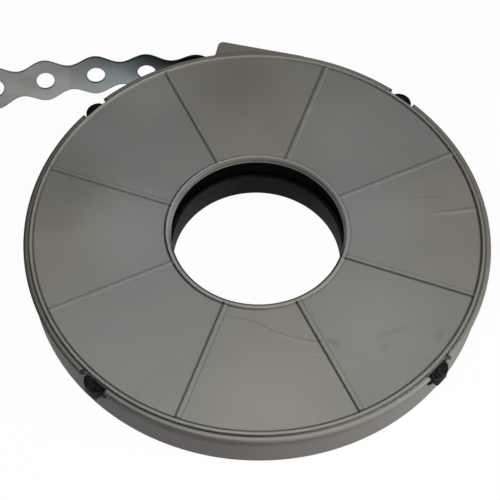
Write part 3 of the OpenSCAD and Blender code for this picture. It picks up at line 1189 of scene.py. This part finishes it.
out_heading = NOZZLE_ANGLE + 90
mouth_heading = out_heading + MOUTH_TURN
mouth = ((CASE_R - MOUTH_IN) * toward(NOZZLE_ANGLE)
         + (NOZZLE_LEN + MOUTH_LIP) * toward(out_heading))
mouth_side = toward(mouth_heading - 90)
coil_end_r = COIL_R - STRAP_T / 2
spring_r = (mouth.dot(mouth) - coil_end_r ** 2) / (2 * (mouth.dot(mouth_side) - coil_end_r))
spring_mid = mouth - spring_r * mouth_side
tail_mid = mouth - TAIL_R * mouth_side
coil_end_turn = math.atan2(-spring_mid.y, -spring_mid.x)
spring_turn = math.radians(mouth_heading - 90) - coil_end_turn
turn_pitch = STRAP_T / COIL_FILL
print("mouth at %.1f, %.1f, and an arc of radius %.1f up to it" % (mouth.x, mouth.y, spring_r))


def way(s):
    """The strap's middle point and outward direction in plan, s mm beyond the mouth."""
    if s >= 0:
        side = toward(mouth_heading - 90 + math.degrees(s / TAIL_R))
        return tail_mid + TAIL_R * side, side
    if s > -spring_turn * spring_r:
        side = toward(mouth_heading - 90 + math.degrees(s / spring_r))
        return spring_mid + spring_r * side, side
    inside = -s - spring_turn * spring_r
    left = math.sqrt(coil_end_r ** 2 - inside * turn_pitch / math.pi)
    side = toward(math.degrees(coil_end_turn - (coil_end_r - left) * math.tau / turn_pitch))
    return left * side, side


# %% Bending the strap
TAIL_TWIST = 0.297
TAIL_DROP = 0.02
MID_Z = FLOOR_T + STRAP_W / 2


def bend(bm):
    """Moves every point of the flat strap to its place along the way."""
    for vert in bm.verts:
        s, w, n = vert.co
        middle, side = way(s)
        lean = math.radians(TAIL_TWIST * max(s, 0))
        across = side * math.sin(lean)
        face = side * math.cos(lean)
        plan = middle + w * across + n * face
        height = MID_Z - TAIL_DROP * max(s, 0) + w * math.cos(lean) - n * math.sin(lean)
        vert.co = (plan.x, plan.y, height)


def map_strap(bm):
    """Stores each point's place along and across the flat strap, in metres."""
    layer = bm.loops.layers.uv.new("strap_map")
    for face in bm.faces:
        for loop in face.loops:
            loop[layer].uv = (loop.vert.co.x * MM, loop.vert.co.y * MM)


# %% The strap as one piece
STRAP_SHARP = math.radians(20)

strap = flat_strap()
map_strap(strap)
bend(strap)
finish_piece(strap, "strap", ZINC_STEEL, STRAP_SHARP)
hole = mounts["strap_hole_1"]["pos_m"]
middle = way(FIRST_HOLE)[0]
off = math.hypot(middle.x - hole[0] / MM, middle.y - hole[1] / MM)
print("first hole off its mount by %.3f mm" % off)

# %% [markdown]
# ## Stage
# The case lies on a plain pale floor. To the camera the floor glows nearly white, so that the
# background stays clean, and the small share that doesn't glow keeps a faint shadow. Mirrors see
# a dimmer floor, because a fully white one would wash out the steel. All other light finds a
# plain matt floor.

# %% The floor
FLOOR_HALF = 3.0
FLOOR_GLOW = 0.97
MIRRORED = 0.42
DIM_FLOOR = (0.30, 0.30, 0.30, 1)
PALE_FLOOR = (0.80, 0.80, 0.80, 1)
WHITE = (1, 1, 1, 1)


def floor_finish():
    material, place = new_finish("white_floor", "Object")
    camera_ray = place.node("LightPath")
    rays = camera_ray.socket.node.outputs
    glossy_ray = Value(place.tree, rays["Is Glossy Ray"])
    transmission_ray = Value(place.tree, rays["Is Transmission Ray"])
    seen = (camera_ray + transmission_ray + MIRRORED * glossy_ray).clamped()
    matt = place.node("BsdfDiffuse", (), {"Color": camera_ray.mixed(DIM_FLOOR, PALE_FLOOR)})
    glow = place.node("Emission", (), {"Color": WHITE, "Strength": 1.0})
    plug_in(material, place.node("MixShader", (), {0: seen * FLOOR_GLOW, 1: matt, 2: glow}))
    return material


floor_mesh = bmesh.new()
bmesh.ops.create_grid(floor_mesh, x_segments=1, y_segments=1, size=FLOOR_HALF)
floor = as_object(floor_mesh, "floor")
floor.data.materials.append(floor_finish())
print("floor of %.0f m" % (2 * FLOOR_HALF))

# %% [markdown]
# ## Light
# Three soft lamps and a dim sky light the case. The low lamp at the side models the beads and the
# ribs, the small one in front makes the near panels lighter than the far ones, and the one
# overhead fills. The front lamp is hidden from mirrors, or its small bright square would show in
# the steel. The sky is white to the camera only.

# %% The studio's light
SKY_LEVEL = 0.09
world = bpy.data.worlds.new("studio")
bpy.context.scene.world = world
world.use_nodes = True
world.node_tree.nodes.clear()
sky_rays = world.node_tree.nodes.new("ShaderNodeLightPath").outputs
sky = Value(world.node_tree, sky_rays["Is Camera Ray"])
sky_shader = sky.node("Background", (), {
    "Color": WHITE, "Strength": SKY_LEVEL + (1 - SKY_LEVEL) * sky})
sky_output = world.node_tree.nodes.new("ShaderNodeOutputWorld")
world.node_tree.links.new(sky_shader.socket, sky_output.inputs["Surface"])


def soft_box(name, azimuth, height, distance, size, power):
    """A square lamp that faces the middle of the case, from two angles and a distance."""
    plan = toward(azimuth) * math.cos(math.radians(height))
    place = distance * Vector((plan.x, plan.y, math.sin(math.radians(height))))
    light = bpy.data.lights.new(name, "AREA")
    light.size = size
    light.energy = power
    lamp = bpy.data.objects.new(name, light)
    lamp.location = place
    lamp.rotation_euler = (-place).to_track_quat("-Z", "Y").to_euler()
    bpy.context.scene.collection.objects.link(lamp)
    return lamp


soft_box("side_light", azimuth=-20, height=26, distance=1.2, size=0.16, power=9.5)
front_light = soft_box("front_light", azimuth=-97, height=56, distance=0.29, size=0.05, power=0.50)
front_light.visible_glossy = False
soft_box("top_light", azimuth=85, height=78, distance=0.60, size=0.30, power=0.30)

# %% [markdown]
# ## Camera
# The camera was worked out from the case itself: its circles show as ellipses, and their shapes
# and places fix the height, the distance, the lens and a slight roll. The photograph's middle
# isn't the case's middle, so the lens is shifted a little instead of turning the camera.

# %% The camera
IMAGE = 500
SENSOR = 36.0
FOCAL_PX = 1518.69
TARGET_PX = (257.74, 228.93)
EYE_DISTANCE = 0.51995
EYE_HEIGHT = 56.05
EYE_AZIMUTH = -94.6
EYE_ROLL = 1.752

camera_data = bpy.data.cameras.new("camera")
camera_data.sensor_width = SENSOR
camera_data.lens = FOCAL_PX * SENSOR / IMAGE
camera_data.shift_x = (IMAGE / 2 - TARGET_PX[0]) / IMAGE
camera_data.shift_y = (TARGET_PX[1] - IMAGE / 2) / IMAGE
camera = bpy.data.objects.new("camera", camera_data)
bpy.context.scene.collection.objects.link(camera)
plan = toward(EYE_AZIMUTH) * math.cos(math.radians(EYE_HEIGHT))
back = Vector((plan.x, plan.y, math.sin(math.radians(EYE_HEIGHT))))
right = Vector((0, 0, 1)).cross(back).normalized()
up = back.cross(right)
roll = Matrix.Rotation(math.radians(EYE_ROLL), 3, "Z")
turn = Matrix((right, up, back)).transposed() @ roll
eye = Vector((0, 0, TOP_Z * MM)) + EYE_DISTANCE * back
camera.matrix_world = Matrix.Translation(eye) @ turn.to_4x4()
bpy.context.scene.camera = camera
bpy.context.scene.view_settings.view_transform = "Standard"
print("camera at", tuple(round(c, 4) for c in camera.location))
